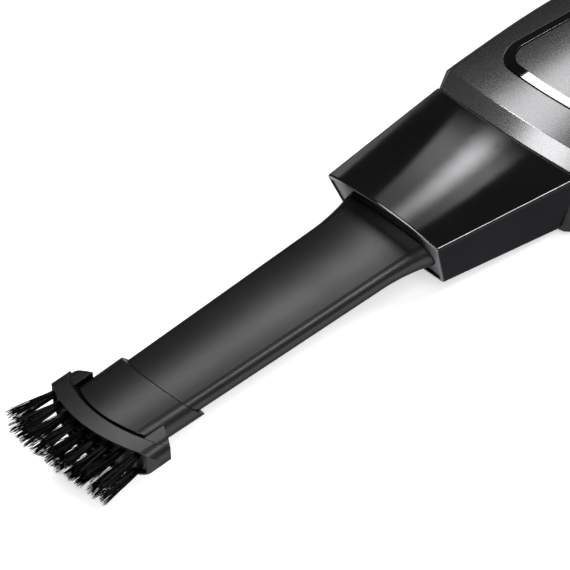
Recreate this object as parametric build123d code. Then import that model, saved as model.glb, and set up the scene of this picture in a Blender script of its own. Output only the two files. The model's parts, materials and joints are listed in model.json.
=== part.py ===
from build123d import *
from functools import lru_cache
from math import asin, cos, degrees, pi, radians, sin, sqrt
import os

os.makedirs("parts", exist_ok=True)

# Handheld vacuum lying on its flat base, in millimetres, with +Z up and the nozzle towards -X.
# The origin is the middle of the base. A distance "behind" runs from the corners of the seam
# between dust cup and body towards the rear, so the nozzle's distances are negative.

# Frame
SEAM_X = -88.0
AXIS_Z = 32.0
REACH = 400.0

# Seam between dust cup and body, an arc in plan
SEAM_RADIUS = 175.0
SEAM_BULGE = 6.5
SEAL_THICKNESS = 0.8
SEAL_INSET = 0.5
SEAL_CLEARANCE = 0.3

# Body, as sections: behind, half width, base half width, ridge height, crown height, base height
BODY_STATIONS = [
    (-14.0, 52.4, 43.0, 46.8, 54.2, 0.0),
    (12.0, 53.0, 44.0, 47.8, 56.6, 0.0),
    (45.0, 52.9, 44.0, 48.5, 59.2, 0.0),
    (85.0, 51.0, 43.0, 49.0, 60.8, 0.0),
    (125.0, 42.5, 34.0, 50.0, 61.8, 5.0),
    (160.0, 30.5, 24.0, 51.5, 61.3, 15.0),
    (200.0, 25.0, 21.0, 51.0, 60.0, 20.0),
    (245.0, 24.0, 20.0, 49.0, 57.0, 20.0),
]
BODY_RIDGE_RADIUS = 9.0
BODY_KEEL_RADIUS = 8.0
LEAST_RADIUS = 0.6
BASE_TRIM = 1.0
WALL = 2.6
BEVEL_RUN = 8.0
BEVEL_RISE = 5.0
LIP_DEPTH = 11.0
PARTING_Z = 36.0
SEAT_CLEARANCE = 0.2

# Dust cup: a straight taper from the seam to its lip
CUP_LENGTH = 85.0
CUP_REAR_HALF_WIDTH = 47.4
CUP_REAR_BASE_HALF_WIDTH = 38.6
CUP_REAR_RIDGE = 43.4
CUP_REAR_CROWN = 49.6
CUP_REAR_BASE = 5.6
CUP_FRONT_HALF_WIDTH = 37.4
CUP_FRONT_BASE_HALF_WIDTH = 30.0
CUP_FRONT_RIDGE = 47.0
CUP_FRONT_CROWN = 53.1
CUP_FRONT_BASE = 15.2
CUP_RIDGE_RADIUS = 1.8
CUP_KEEL_RADIUS = 3.0
CUP_WALL = 2.2
CUP_FRONT_WALL = 3.0
MOUTH_LEAN = 0.32
MOUTH_RIM = 1.9
MOUTH_LIP_RADIUS = 1.2
MOUTH_RECESS = 0.8
MOUTH_CLEARANCE = 0.2

# Crevice tool: a straight taper, then a flare towards the mouth of the cup
TOOL_FRONT = -272.0
TOOL_FRONT_HALF_WIDTH = 21.3
TOOL_FRONT_BEAD = 5.0
FLARE_START = -108.0
FLARE_START_HALF_WIDTH = 25.2
FLARE_START_BEAD = 5.4
FLARE_END = -76.0
FLARE_WIDENING = 4.6
FLARE_THICKENING = 2.8
FLARE_STEPS = 5
TOOL_TIP = -250.0
TOOL_WALL = 1.6
TOOL_CROWN = 2.2
CREASE_ANGLE = 10.0
SPIGOT_HALF_WIDTH = 26.0
SPIGOT_BEAD = 6.2
SPIGOT_END = -58.0
SOCKET_CLEARANCE = 0.3
DUCT_WALL = 2.0
DUCT_END = -56.0

# Inlet flap behind the duct
FLAP_GAP = 0.3
FLAP_THICKNESS = 1.6
FLAP_HALF_WIDTH = 26.8
FLAP_DROP = 20.0
FLAP_KNUCKLE_RADIUS = 2.4
FLAP_PIN_RADIUS = 1.2
FLAP_PIN_RISE = 11.0
EAR_THICKNESS = 2.5
EAR_GAP = 0.4
EAR_LENGTH = 11.0
RUNNING_CLEARANCE = 0.04

# Brush
SLEEVE_REAR = -225.7
SLEEVE_LEAN = 0.85
SLEEVE_WALL = 2.4
SLEEVE_CLEARANCE = 0.3
FLANGE_HALF_WIDTH = 35.5
FLANGE_BEAD = 7.3
FLANGE_FRONT = -273.6
FLANGE_FRONT_RADIUS = 64.0
FLANGE_REAR = -257.3
FLANGE_REAR_RADIUS = 81.0
FLANGE_CROWN = 2.4
FLANGE_FRONT_CORNER = 7.0
FLANGE_REAR_CORNER = 3.0
WING_REAR = -242.0
WING_DROP = 1.2
WING_INNER = 24.0
FLANGE_BEVEL_RISE = 2.0
FLANGE_BEVEL_LEAN = 1.0
GROOVE_WIDTH = 1.6
GROOVE_DEPTH = 1.0
AIR_SLOT_HALF_WIDTH = 17.5
AIR_SLOT_BEAD = 2.3
AIR_SLOT_CROWN = 0.2
AIR_SLOT_RIM = 0.5
BACKING_THICKNESS = 2.0
BACKING_RIM = 1.0
BACKING_END = 3.5
TUFTS_PER_ROW = 9
TUFT_PITCH = 7.0
TUFT_ROW_RISE = 4.5
TUFT_RADIUS = 1.3
STRAND_RINGS = (1, 7, 16)
STRAND_RADIUS = 0.22
STRAND_SIDES = 3
STRAND_ROOT = 1.0
BRISTLE_FRONT = -293.0
BRISTLE_TIP_RADIUS = 260.0
FAN_ANGLE = 6.0
ROW_ANGLE = 3.0
TUFT_SPREAD = 1.9

# Bulkhead with the collar that the cup slides over
COLLAR_REACH = 14.0
COLLAR_CLEARANCE = 0.4
COLLAR_WALL = 2.0
BULKHEAD_THICKNESS = 4.0
WINDOW_BARS = 4
WINDOW_BAR_WIDTH = 2.0

# Filter cartridge
FILTER_Z = 28.5
FILTER_FRONT = -36.0
FILTER_WIDTH = 62.0
FILTER_HEIGHT = 24.0
FILTER_CORNER = 4.0
FILTER_WALL = 2.0
FILTER_FLANGE_LIP = 2.2
FILTER_FLANGE_THICKNESS = 4.0
FILTER_SEAL_THICKNESS = 2.0
PLEATS = 14
PLEAT_PAPER = 0.8
PLEAT_DEPTH = 26.0
MESH_THICKNESS = 0.8
MESH_HOLE = 2.2
MESH_PITCH = 3.2

# Fan and motor, on one axis along X
MOTOR_Z = 28.0
SHROUD_RADIUS = 24.0
SHROUD_WALL = 2.0
SHROUD_LENGTH = 20.0
SHROUD_INLET_RADIUS = 12.0
IMPELLER_RADIUS = 20.0
IMPELLER_START = 4.0
BLADE_HEIGHT = 8.0
BLADE_THICKNESS = 1.2
BLADE_ARC_RADIUS = 14.0
BLADES = 9
HUB_RADIUS = 5.0
HUB_LENGTH = 12.0
IMPELLER_PLATE = 1.6
SHAFT_RADIUS = 1.6
MOTOR_PLATE_THICKNESS = 3.0
PLATE_HOLES = 8
PLATE_HOLE_RADIUS = 2.4
PLATE_HOLE_CIRCLE = 19.0
MOTOR_RADIUS = 18.0
MOTOR_LENGTH = 50.0
MOTOR_WALL = 1.5
MOTOR_CAP_LENGTH = 6.0
BEARING_RADIUS = 5.0
ARMATURE_RADIUS = 14.0
ARMATURE_MARGIN = 7.0
BOOT_THICKNESS = 3.0
BOOT_LENGTH = 8.0
CRADLE_THICKNESS = 5.0
CRADLE_HALF_WIDTH = 25.0

# Decor ring and the panel inside it, as a plan outline
RING_FRONT = 20.5
RING_SHOULDER = 26.0
RING_FRONT_HALF_WIDTH = 36.5
RING_REAR = 140.0
RING_REAR_HALF_WIDTH = 19.0
RING_FRONT_CORNER = 17.0
RING_REAR_CORNER = 16.0
RING_BAND = 5.5
RING_DEPTH = 1.4
RING_PROUD = 0.5
INLAY_CLEARANCE = 0.15

# Power button, switch and lights under the panel
BUTTON_BEHIND = 78.0
BUTTON_RADIUS = 8.0
BUTTON_PROUD = 0.6
BUTTON_TRAVEL = 0.8
BUTTON_CLEARANCE = 0.3
BUTTON_FLANGE_LIP = 1.5
BUTTON_FLANGE_THICKNESS = 1.2
BOARD_Z = 49.2
BOARD_THICKNESS = 1.6
BOARD_FRONT = 54.0
BOARD_REAR = 104.0
BOARD_HALF_WIDTH = 14.0
BOARD_POST_RADIUS = 2.5
BOARD_POST_INSET = 4.0
SWITCH_SIDE = 6.0
SWITCH_HEIGHT = 3.0
SWITCH_PLUNGER_RADIUS = 1.7
SWITCH_PLUNGER_HEIGHT = 0.8
LIGHT_BEHIND = 60.0
LIGHT_PITCH = 6.0
LIGHTS = 3
LIGHT_RADIUS = 1.5
LIGHT_CLEARANCE = 0.1

# Vents in the sides
VENT_FRONT = 52.0
VENT_REAR = 92.0
VENT_BOTTOM = 12.0
VENT_TOP = 30.0
VENT_SLOTS = 8
VENT_SLOT_WIDTH = 2.6
VENT_FRAME = 2.5
FOAM_THICKNESS = 3.0

# Base screws and their bosses
SCREWS = [(34.0, 37.0), (34.0, -37.0), (112.0, 30.0), (112.0, -30.0)]
SCREW_RADIUS = 1.5
SCREW_HEAD_RADIUS = 3.0
SCREW_HEAD_HEIGHT = 2.2
SCREW_CROSS_LENGTH = 3.0
SCREW_CROSS_WIDTH = 0.9
SCREW_CROSS_DEPTH = 1.1
SCREW_SINK = 8.0
SCREW_GRIP = 9.0
SCREW_CLEARANCE = 0.25
BOSS_WALL = 1.8

# Battery in the grip
CELL_RADIUS = 9.2
CELL_LENGTH = 65.0
CELL_FRONT = 165.0
CELL_GAP = 0.4
CELL_Z = 38.0
HOLDER_BOTTOM = 26.0
HOLDER_TOP = 35.0
HOLDER_MARGIN = 3.0
HOLDER_RIB = 3.0
STRAP_THICKNESS = 0.4
STRAP_HEIGHT = 8.0
STRAP_HALF_WIDTH = 14.0

# Rear cap, charge port and port cover
CAP_LENGTH = 13.0
CAP_SHOULDER = 8.0
CAP_SHOULDER_INSET = 1.6
CAP_END_INSET = 6.0
PORT_Z = 38.0
PORT_WIDTH = 9.0
PORT_HEIGHT = 3.4
PORT_LENGTH = 12.0
PORT_CORNER = 1.6
PORT_WALL = 0.5
PORT_CLEARANCE = 0.1
COVER_WIDTH = 16.0
COVER_HEIGHT = 9.0
COVER_THICKNESS = 2.0
COVER_PROUD = 0.6
COVER_CLEARANCE = 0.3
COVER_PIN_RADIUS = 0.8
COVER_PIN_REACH = 2.0
COVER_KNUCKLE_RADIUS = 1.6
SEAT_SIDE = 5.2
SEAT_RISE = 7.8

# Soft pad under the grip
PAD_FRONT = 168.0
PAD_REAR = 232.0
PAD_HALF_WIDTH = 13.0
PAD_CORNER = 8.0
PAD_DEPTH = 1.4


def at(behind):
    return SEAM_X + behind


def save(name, solid):
    export_step(solid.solids()[0], f"parts/{name}.step")


def box(x0, x1, y0, y1, z0, z1):
    return Pos((x0 + x1) / 2, (y0 + y1) / 2, (z0 + z1) / 2) * Box(x1 - x0, y1 - y0, z1 - z0)


def slab(x0, x1):
    return box(x0, x1, -REACH, REACH, -REACH, REACH)


def above(z):
    return box(-2 * REACH, 2 * REACH, -REACH, REACH, z, z + REACH)


def below(z):
    return box(-2 * REACH, 2 * REACH, -REACH, REACH, z - REACH, z)


def rod_x(x0, x1, y, z, radius):
    return Pos((x0 + x1) / 2, y, z) * Rot(0, 90, 0) * Cylinder(radius, x1 - x0)


def rod_y(x, y0, y1, z, radius):
    return Pos(x, (y0 + y1) / 2, z) * Rot(90, 0, 0) * Cylinder(radius, y1 - y0)


def rod_z(x, y, z0, z1, radius):
    return Pos(x, y, (z0 + z1) / 2) * Cylinder(radius, z1 - z0)


def upright(front, radius):
    # Solid cylinder with an upright axis whose foremost line is at x = front
    return Pos(front + radius, 0, 0) * Cylinder(radius, 2 * REACH)


def section_plane(x):
    return Plane(origin=(x, 0, 0), x_dir=(0, 1, 0), z_dir=(1, 0, 0))


def block_across(x0, x1, width, height, z, corner):
    # Rounded rectangular bar along X
    face = section_plane(x0) * (Pos(0, z) * RectangleRounded(width, height, corner))
    return extrude(face, amount=x1 - x0, dir=(1, 0, 0))


# Sections

def arched_section(x, half_width, base_half_width, ridge, crown, base, ridge_radius, keel_radius):
    top = ThreePointArc((half_width, ridge), (0, crown), (-half_width, ridge))
    rest = Polyline((-half_width, ridge), (-base_half_width, base), (base_half_width, base),
                    (half_width, ridge))
    face = make_face([top] + list(rest.edges())).face()
    face = face.fillet_2d(keel_radius, face.vertices().sort_by(Axis.Y)[:2])
    face = face.fillet_2d(ridge_radius, face.vertices().sort_by(Axis.Y)[-2:])
    return section_plane(x) * face


def beaded_section(x, half_width, bead, crown):
    # Flat tube section: a crowned top and bottom between two rounded side beads
    crease_y = half_width - bead + bead * sin(radians(CREASE_ANGLE))
    crease_z = bead * cos(radians(CREASE_ANGLE))
    shoulder = bead * sqrt(0.5)
    bead_y = half_width - bead
    edges = [ThreePointArc((-crease_y, crease_z), (0, crease_z + crown), (crease_y, crease_z))]
    edges.append(ThreePointArc((crease_y, crease_z), (bead_y + shoulder, shoulder), (half_width, 0)))
    edges.append(ThreePointArc((half_width, 0), (bead_y + shoulder, -shoulder), (crease_y, -crease_z)))
    edges.append(ThreePointArc((crease_y, -crease_z), (0, -crease_z - crown), (-crease_y, -crease_z)))
    edges.append(ThreePointArc((-crease_y, -crease_z), (-bead_y - shoulder, -shoulder), (-half_width, 0)))
    edges.append(ThreePointArc((-half_width, 0), (-bead_y - shoulder, shoulder), (-crease_y, crease_z)))
    face = make_face(edges).face()
    return section_plane(x) * (Pos(0, AXIS_Z) * face)


def beaded_bar(x0, x1, half_width, bead, crown):
    return extrude(beaded_section(x0, half_width, bead, crown), amount=x1 - x0, dir=(1, 0, 0))


# Body forms

def body_section(station, inset):
    behind, half_width, base_half_width, ridge, crown, base = station
    ridge_radius = max(BODY_RIDGE_RADIUS - inset, LEAST_RADIUS)
    keel_radius = max(BODY_KEEL_RADIUS - inset, LEAST_RADIUS)
    return arched_section(at(behind), half_width - inset, base_half_width - inset, ridge - inset,
                          crown - inset, base - BASE_TRIM + inset, ridge_radius, keel_radius)


@lru_cache
def body_form(inset):
    form = loft([body_section(station, inset) for station in BODY_STATIONS])
    return form & above(max(inset, 0.0))


@lru_cache
def body_block():
    # Outer form with its curved front face and the bevel round it
    waste = slab(at(-2 * COLLAR_REACH), at(LIP_DEPTH)) - upright(at(-SEAM_BULGE), SEAM_RADIUS)
    solid = (body_form(0) - waste).solids()[0]
    fronts = solid.faces().filter_by(GeomType.CYLINDER)
    front = fronts.sort_by(Axis.X)[0]
    return solid.chamfer(BEVEL_RISE, BEVEL_RUN, front.edges(), face=front)


@lru_cache
def ring_outline(inset):
    front = ThreePointArc((at(RING_SHOULDER), RING_FRONT_HALF_WIDTH), (at(RING_FRONT), 0),
                          (at(RING_SHOULDER), -RING_FRONT_HALF_WIDTH))
    rest = Polyline((at(RING_SHOULDER), -RING_FRONT_HALF_WIDTH), (at(RING_REAR), -RING_REAR_HALF_WIDTH),
                    (at(RING_REAR), RING_REAR_HALF_WIDTH), (at(RING_SHOULDER), RING_FRONT_HALF_WIDTH))
    face = make_face([front] + list(rest.edges())).face()
    face = face.fillet_2d(RING_FRONT_CORNER, face.vertices().sort_by(Axis.X)[:2])
    face = face.fillet_2d(RING_REAR_CORNER, face.vertices().sort_by(Axis.X)[-2:])
    shape = offset(face, amount=-inset) if inset else face
    return extrude(Pos(0, 0, PARTING_Z) * shape, amount=REACH, dir=(0, 0, 1))


# Cup forms

def cup_section(behind, inset):
    share = -behind / CUP_LENGTH
    half_width = CUP_REAR_HALF_WIDTH + share * (CUP_FRONT_HALF_WIDTH - CUP_REAR_HALF_WIDTH)
    base_half = CUP_REAR_BASE_HALF_WIDTH + share * (CUP_FRONT_BASE_HALF_WIDTH - CUP_REAR_BASE_HALF_WIDTH)
    ridge = CUP_REAR_RIDGE + share * (CUP_FRONT_RIDGE - CUP_REAR_RIDGE)
    crown = CUP_REAR_CROWN + share * (CUP_FRONT_CROWN - CUP_REAR_CROWN)
    base = CUP_REAR_BASE + share * (CUP_FRONT_BASE - CUP_REAR_BASE)
    ridge_radius = max(CUP_RIDGE_RADIUS - inset, LEAST_RADIUS)
    keel_radius = max(CUP_KEEL_RADIUS - inset, LEAST_RADIUS)
    return arched_section(at(behind), half_width - inset, base_half - inset, ridge - inset, crown - inset,
                          base + inset, ridge_radius, keel_radius)


@lru_cache
def cup_form(front, rear, inset):
    return loft([cup_section(front, inset), cup_section(rear, inset)], ruled=True)


def ahead_of_plane(x, z, lean):
    # Everything in front of a plane across X whose top leans forward
    plane = Plane(origin=(x, 0, z), x_dir=(0, 1, 0), z_dir=(-1, 0, -lean))
    return plane * Box(REACH, REACH, REACH, align=(Align.CENTER, Align.CENTER, Align.MIN))


def ahead_of_mouth(depth):
    # Everything in front of the leaning mouth plane, moved into the cup by depth
    along = depth * sqrt(1 + MOUTH_LEAN ** 2)
    return ahead_of_plane(at(-CUP_LENGTH) + along, CUP_FRONT_RIDGE, MOUTH_LEAN)


def tool_section(behind, inset):
    share = (behind - TOOL_FRONT) / (FLARE_START - TOOL_FRONT)
    half_width = TOOL_FRONT_HALF_WIDTH + share * (FLARE_START_HALF_WIDTH - TOOL_FRONT_HALF_WIDTH)
    bead = TOOL_FRONT_BEAD + share * (FLARE_START_BEAD - TOOL_FRONT_BEAD)
    flare = max(behind - FLARE_START, 0.0) / (FLARE_END - FLARE_START)
    half_width = half_width + FLARE_WIDENING * flare ** 2
    bead = bead + FLARE_THICKENING * flare ** 2
    return beaded_section(at(behind), half_width - inset, bead - inset, TOOL_CROWN)


@lru_cache
def tool_form(inset):
    taper = loft([tool_section(TOOL_FRONT, inset), tool_section(FLARE_START, inset)], ruled=True)
    step = (FLARE_END - FLARE_START) / FLARE_STEPS
    flare = loft([tool_section(FLARE_START + index * step, inset) for index in range(FLARE_STEPS + 1)])
    return taper + flare


# Nose

def dust_cup():
    front = -CUP_LENGTH - COLLAR_REACH
    rear = LIP_DEPTH
    seam = upright(at(-SEAM_BULGE) - SEAL_THICKNESS - SEAL_CLEARANCE, SEAM_RADIUS)
    skin = cup_form(front, rear, 0) - ahead_of_mouth(0)
    mouth = skin.faces().sort_by(Axis.X)[0]
    skin = skin.solids()[0].fillet(MOUTH_LIP_RADIUS, mouth.edges())
    shell = skin - cup_form(front, rear, CUP_WALL)
    wall = cup_form(front, rear, CUP_WALL / 2) - ahead_of_mouth(MOUTH_RECESS)
    wall = wall & ahead_of_mouth(CUP_FRONT_WALL)
    socket_half = SPIGOT_HALF_WIDTH + SOCKET_CLEARANCE
    socket_bead = SPIGOT_BEAD + SOCKET_CLEARANCE
    socket = beaded_bar(at(front), at(0), socket_half, socket_bead, TOOL_CROWN)
    duct = beaded_bar(at(front), at(DUCT_END), socket_half + DUCT_WALL, socket_bead + DUCT_WALL, TOOL_CROWN)
    duct = duct - ahead_of_mouth(MOUTH_RECESS)
    rim = cup_form(front, rear, MOUTH_RIM) & ahead_of_mouth(MOUTH_RECESS)
    cup = shell + wall + duct
    pin_x = flap_pin_x()
    for side in (1, -1):
        inner = side * (FLAP_HALF_WIDTH + EAR_GAP)
        outer = side * (FLAP_HALF_WIDTH + EAR_GAP + EAR_THICKNESS)
        ear = box(pin_x + FLAP_KNUCKLE_RADIUS - EAR_LENGTH, pin_x + FLAP_KNUCKLE_RADIUS, min(inner, outer),
                  max(inner, outer), AXIS_Z - SPIGOT_BEAD / 2, flap_pin_z() + FLAP_KNUCKLE_RADIUS)
        cup = cup + ear
    pin_hole = rod_y(pin_x, -REACH / 2, REACH / 2, flap_pin_z(), FLAP_PIN_RADIUS)
    pin_hole = pin_hole & box(at(-CUP_LENGTH), at(0), -flap_pin_half(), flap_pin_half(), 0, REACH)
    return cup - rim - socket - seam - pin_hole


def cup_seal():
    front = -2 * COLLAR_REACH
    ring = cup_form(front, LIP_DEPTH, SEAL_INSET) - cup_form(front, LIP_DEPTH, CUP_WALL)
    seam = at(-SEAM_BULGE)
    return (ring & upright(seam - SEAL_THICKNESS, SEAM_RADIUS)) - upright(seam, SEAM_RADIUS)


def flap_pin_x():
    return at(DUCT_END) + FLAP_GAP + FLAP_KNUCKLE_RADIUS


def flap_pin_z():
    return AXIS_Z + FLAP_PIN_RISE


def flap_pin_half():
    return FLAP_HALF_WIDTH + EAR_GAP + EAR_THICKNESS


def flap_pin():
    return rod_y(flap_pin_x(), -flap_pin_half(), flap_pin_half(), flap_pin_z(), FLAP_PIN_RADIUS)


def inlet_flap():
    front = at(DUCT_END) + FLAP_GAP
    plate = box(front, front + FLAP_THICKNESS, -FLAP_HALF_WIDTH, FLAP_HALF_WIDTH, flap_pin_z() - FLAP_DROP,
                flap_pin_z())
    knuckle = rod_y(flap_pin_x(), -FLAP_HALF_WIDTH, FLAP_HALF_WIDTH, flap_pin_z(), FLAP_KNUCKLE_RADIUS)
    hole = rod_y(flap_pin_x(), -REACH, REACH, flap_pin_z(), FLAP_PIN_RADIUS + RUNNING_CLEARANCE)
    return plate + knuckle - hole


def crevice_tool():
    shoulder = MOUTH_RECESS - MOUTH_CLEARANCE
    tube = tool_form(0) & ahead_of_mouth(shoulder)
    spigot_front = at(-CUP_LENGTH)
    spigot = beaded_bar(spigot_front, at(SPIGOT_END), SPIGOT_HALF_WIDTH, SPIGOT_BEAD, TOOL_CROWN)
    bore = tool_form(TOOL_WALL) & slab(-REACH, spigot_front)
    throat = beaded_bar(spigot_front, at(0), SPIGOT_HALF_WIDTH - TOOL_WALL, SPIGOT_BEAD - TOOL_WALL,
                        TOOL_CROWN)
    whole = (tube & slab(at(TOOL_TIP), 0)) + spigot
    return whole - bore - throat


@lru_cache
def flange_bar(inset):
    return beaded_bar(at(2 * FLANGE_FRONT), at(SLEEVE_REAR), FLANGE_HALF_WIDTH - inset, FLANGE_BEAD - inset,
                      FLANGE_CROWN)


@lru_cache
def flange_plan():
    # Seen from above, the flange is two arcs with rounded ends
    tip = FLANGE_HALF_WIDTH
    front_x = at(FLANGE_FRONT) + arc_back(FLANGE_FRONT_RADIUS, tip)
    rear_x = at(WING_REAR) - arc_back(FLANGE_FRONT_RADIUS, tip)
    front = ThreePointArc((front_x, tip), (at(FLANGE_FRONT), 0), (front_x, -tip))
    rear = ThreePointArc((rear_x, -tip), (at(WING_REAR), 0), (rear_x, tip))
    ends = [Line((front_x, side * tip), (rear_x, side * tip)) for side in (1, -1)]
    face = make_face([front, rear] + ends).face()
    face = face.fillet_2d(FLANGE_FRONT_CORNER, face.vertices().sort_by(Axis.X)[:2])
    face = face.fillet_2d(FLANGE_REAR_CORNER, face.vertices().sort_by(Axis.X)[-2:])
    return extrude(face, amount=REACH, dir=(0, 0, 1))


def flange_hollow():
    # Room behind the flange: an upright cylinder that opens out above and below its middle
    middle = at(FLANGE_REAR) + FLANGE_REAR_RADIUS
    height = FLANGE_BEAD + FLANGE_CROWN
    wide = FLANGE_REAR_RADIUS + FLANGE_BEVEL_LEAN * height
    rise = FLANGE_BEVEL_RISE + height / 2
    top = Pos(middle, 0, AXIS_Z + rise) * Cone(FLANGE_REAR_RADIUS, wide, height)
    bottom = Pos(middle, 0, AXIS_Z - rise) * Cone(wide, FLANGE_REAR_RADIUS, height)
    waist = rod_z(middle, 0, AXIS_Z - FLANGE_BEVEL_RISE, AXIS_Z + FLANGE_BEVEL_RISE, FLANGE_REAR_RADIUS)
    return waist + top + bottom


@lru_cache
def bristle_backing():
    front = at(FLANGE_FRONT)
    layer = upright(front, FLANGE_FRONT_RADIUS) - upright(front + BACKING_THICKNESS, FLANGE_FRONT_RADIUS)
    air = beaded_bar(at(2 * FLANGE_FRONT), at(0), AIR_SLOT_HALF_WIDTH + AIR_SLOT_RIM,
                     AIR_SLOT_BEAD + AIR_SLOT_RIM, AIR_SLOT_CROWN)
    end = FLANGE_HALF_WIDTH - BACKING_END
    layer = layer & box(at(2 * FLANGE_FRONT), at(FLANGE_REAR), -end, end, 0, REACH)
    return (flange_bar(BACKING_RIM) & layer) - air


def brush_collar():
    hollow = flange_hollow()
    flange = (flange_bar(0) & flange_plan()) - hollow
    behind = upright(at(FLANGE_REAR) - BACKING_THICKNESS, FLANGE_REAR_RADIUS)
    bar = flange_bar(WING_DROP) & upright(at(FLANGE_REAR) - FLANGE_BEAD, FLANGE_REAR_RADIUS)
    wing = (bar & flange_plan()) - box(at(FLANGE_FRONT), at(0), -WING_INNER, WING_INNER, 0, REACH)
    ahead = ahead_of_plane(at(SLEEVE_REAR), AXIS_Z, SLEEVE_LEAN)
    skin = SLEEVE_CLEARANCE + SLEEVE_WALL
    sleeve = tool_form(-skin) & (Pos(GROOVE_WIDTH, 0, 0) * hollow) & ahead
    core = tool_form(GROOVE_DEPTH - skin) & behind & ahead
    bore = tool_form(-SLEEVE_CLEARANCE) & slab(at(TOOL_TIP) - SLEEVE_CLEARANCE, at(0))
    air = beaded_bar(at(2 * FLANGE_FRONT), at(TOOL_TIP), AIR_SLOT_HALF_WIDTH, AIR_SLOT_BEAD, AIR_SLOT_CROWN)
    return flange + wing + core + sleeve - bore - air - bristle_backing()


def strand_offsets():
    # Strand roots of one tuft, in rings about its middle
    offsets = []
    rings = len(STRAND_RINGS) - 1
    for ring, count in enumerate(STRAND_RINGS):
        radius = TUFT_RADIUS * ring / rings
        for index in range(count):
            angle = 2 * pi * index / count
            offsets.append((radius * cos(angle), radius * sin(angle)))
    return offsets


def arc_back(radius, y):
    # How far an arc across the tool falls back at y from its foremost point
    return radius - sqrt(radius ** 2 - y ** 2)


def strand_length(y):
    root = FLANGE_FRONT + arc_back(FLANGE_FRONT_RADIUS, y)
    return root - BRISTLE_FRONT - arc_back(BRISTLE_TIP_RADIUS, y)


def strand(y, z, y_slope, z_slope):
    root_x = at(FLANGE_FRONT) + arc_back(FLANGE_FRONT_RADIUS, y) + STRAND_ROOT
    face = Pos(y, AXIS_Z + z) * RegularPolygon(STRAND_RADIUS, STRAND_SIDES)
    length = strand_length(y) + STRAND_ROOT
    return extrude(section_plane(root_x) * face, amount=length, dir=(-1, y_slope, z_slope))


def brush_bristles():
    strands = []
    middle = (TUFTS_PER_ROW - 1) / 2
    for row in (1, -1):
        for index in range(TUFTS_PER_ROW):
            y_slope = sin(radians(FAN_ANGLE)) * (index - middle) / middle
            z_slope = row * sin(radians(ROW_ANGLE))
            for dy, dz in strand_offsets():
                y = (index - middle) * TUFT_PITCH + dy
                spread_y = y_slope + dy * (TUFT_SPREAD - 1) / strand_length(y)
                spread_z = z_slope + dz * (TUFT_SPREAD - 1) / strand_length(y)
                strands.append(strand(y, row * TUFT_ROW_RISE + dz, spread_y, spread_z).solids()[0])
    backing = bristle_backing().solids()[0]
    return backing.fuse(*strands)


# Filter and bulkhead

def filter_rear():
    return LIP_DEPTH - FILTER_SEAL_THICKNESS


def filter_frame():
    front = at(FILTER_FRONT)
    rear = at(filter_rear())
    tube = block_across(front, rear, FILTER_WIDTH, FILTER_HEIGHT, FILTER_Z, FILTER_CORNER)
    lip = block_across(rear - FILTER_FLANGE_THICKNESS, rear, FILTER_WIDTH + 2 * FILTER_FLANGE_LIP,
                       FILTER_HEIGHT + FILTER_FLANGE_LIP, FILTER_Z, FILTER_CORNER)
    return tube + lip - filter_bore(front, rear)


def filter_bore(x0, x1):
    return block_across(x0, x1, FILTER_WIDTH - 2 * FILTER_WALL, FILTER_HEIGHT - 2 * FILTER_WALL, FILTER_Z,
                        FILTER_CORNER - FILTER_WALL)


def filter_mesh():
    front = at(FILTER_FRONT)
    width = FILTER_WIDTH - 2 * FILTER_WALL
    height = FILTER_HEIGHT - 2 * FILTER_WALL
    columns = int((width - MESH_PITCH) / MESH_PITCH)
    rows = int((height - MESH_PITCH) / MESH_PITCH)
    net = RectangleRounded(width, height, FILTER_CORNER - FILTER_WALL)
    net = net - GridLocations(MESH_PITCH, MESH_PITCH, columns, rows) * Rectangle(MESH_HOLE, MESH_HOLE)
    return extrude(section_plane(front) * (Pos(0, FILTER_Z) * net), amount=MESH_THICKNESS, dir=(1, 0, 0))


def filter_pleats():
    # Paper folded to and fro along X, with upright folds
    width = FILTER_WIDTH - 2 * FILTER_WALL
    height = FILTER_HEIGHT - 2 * FILTER_WALL - 2 * FILTER_CORNER + 2 * FILTER_WALL
    front = at(FILTER_FRONT) + MESH_THICKNESS
    pitch = (width - PLEAT_PAPER) / PLEATS
    line = []
    for index in range(2 * PLEATS + 1):
        y = (index - PLEATS) * pitch / 2
        line.append((front + PLEAT_PAPER + (index % 2) * PLEAT_DEPTH, y))
    paper = offset(Polyline(*line), amount=PLEAT_PAPER / 2, side=Side.BOTH)
    face = make_face(paper.edges()).face()
    return extrude(Pos(0, 0, FILTER_Z - height / 2) * face, amount=height, dir=(0, 0, 1))


def filter_seal():
    front = at(filter_rear())
    rear = at(LIP_DEPTH)
    ring = block_across(front, rear, FILTER_WIDTH + 2 * FILTER_FLANGE_LIP, FILTER_HEIGHT + FILTER_FLANGE_LIP,
                        FILTER_Z, FILTER_CORNER)
    return ring - filter_bore(front, rear)


def bulkhead():
    front = at(LIP_DEPTH)
    rear = front + BULKHEAD_THICKNESS
    plate = body_form(WALL + SEAT_CLEARANCE) & slab(front, rear)
    window = filter_bore(front, rear)
    bar_pitch = (FILTER_WIDTH - 2 * FILTER_WALL) / (WINDOW_BARS + 1)
    for index in range(WINDOW_BARS):
        y = (index - (WINDOW_BARS - 1) / 2) * bar_pitch
        window = window - box(front, rear, y - WINDOW_BAR_WIDTH / 2, y + WINDOW_BAR_WIDTH / 2, 0, REACH)
    outer = CUP_WALL + COLLAR_CLEARANCE
    collar = cup_form(-COLLAR_REACH, LIP_DEPTH, outer)
    collar = collar - cup_form(-COLLAR_REACH, LIP_DEPTH, outer + COLLAR_WALL)
    return plate + collar - window


# Body shells

@lru_cache
def cavity():
    room = body_form(WALL) & slab(at(LIP_DEPTH), at(BODY_STATIONS[-1][0]))
    return room + cup_form(-2 * COLLAR_REACH, LIP_DEPTH, CUP_WALL)


def screw_boss_radius():
    return SCREW_HEAD_RADIUS + SCREW_CLEARANCE + BOSS_WALL


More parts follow.
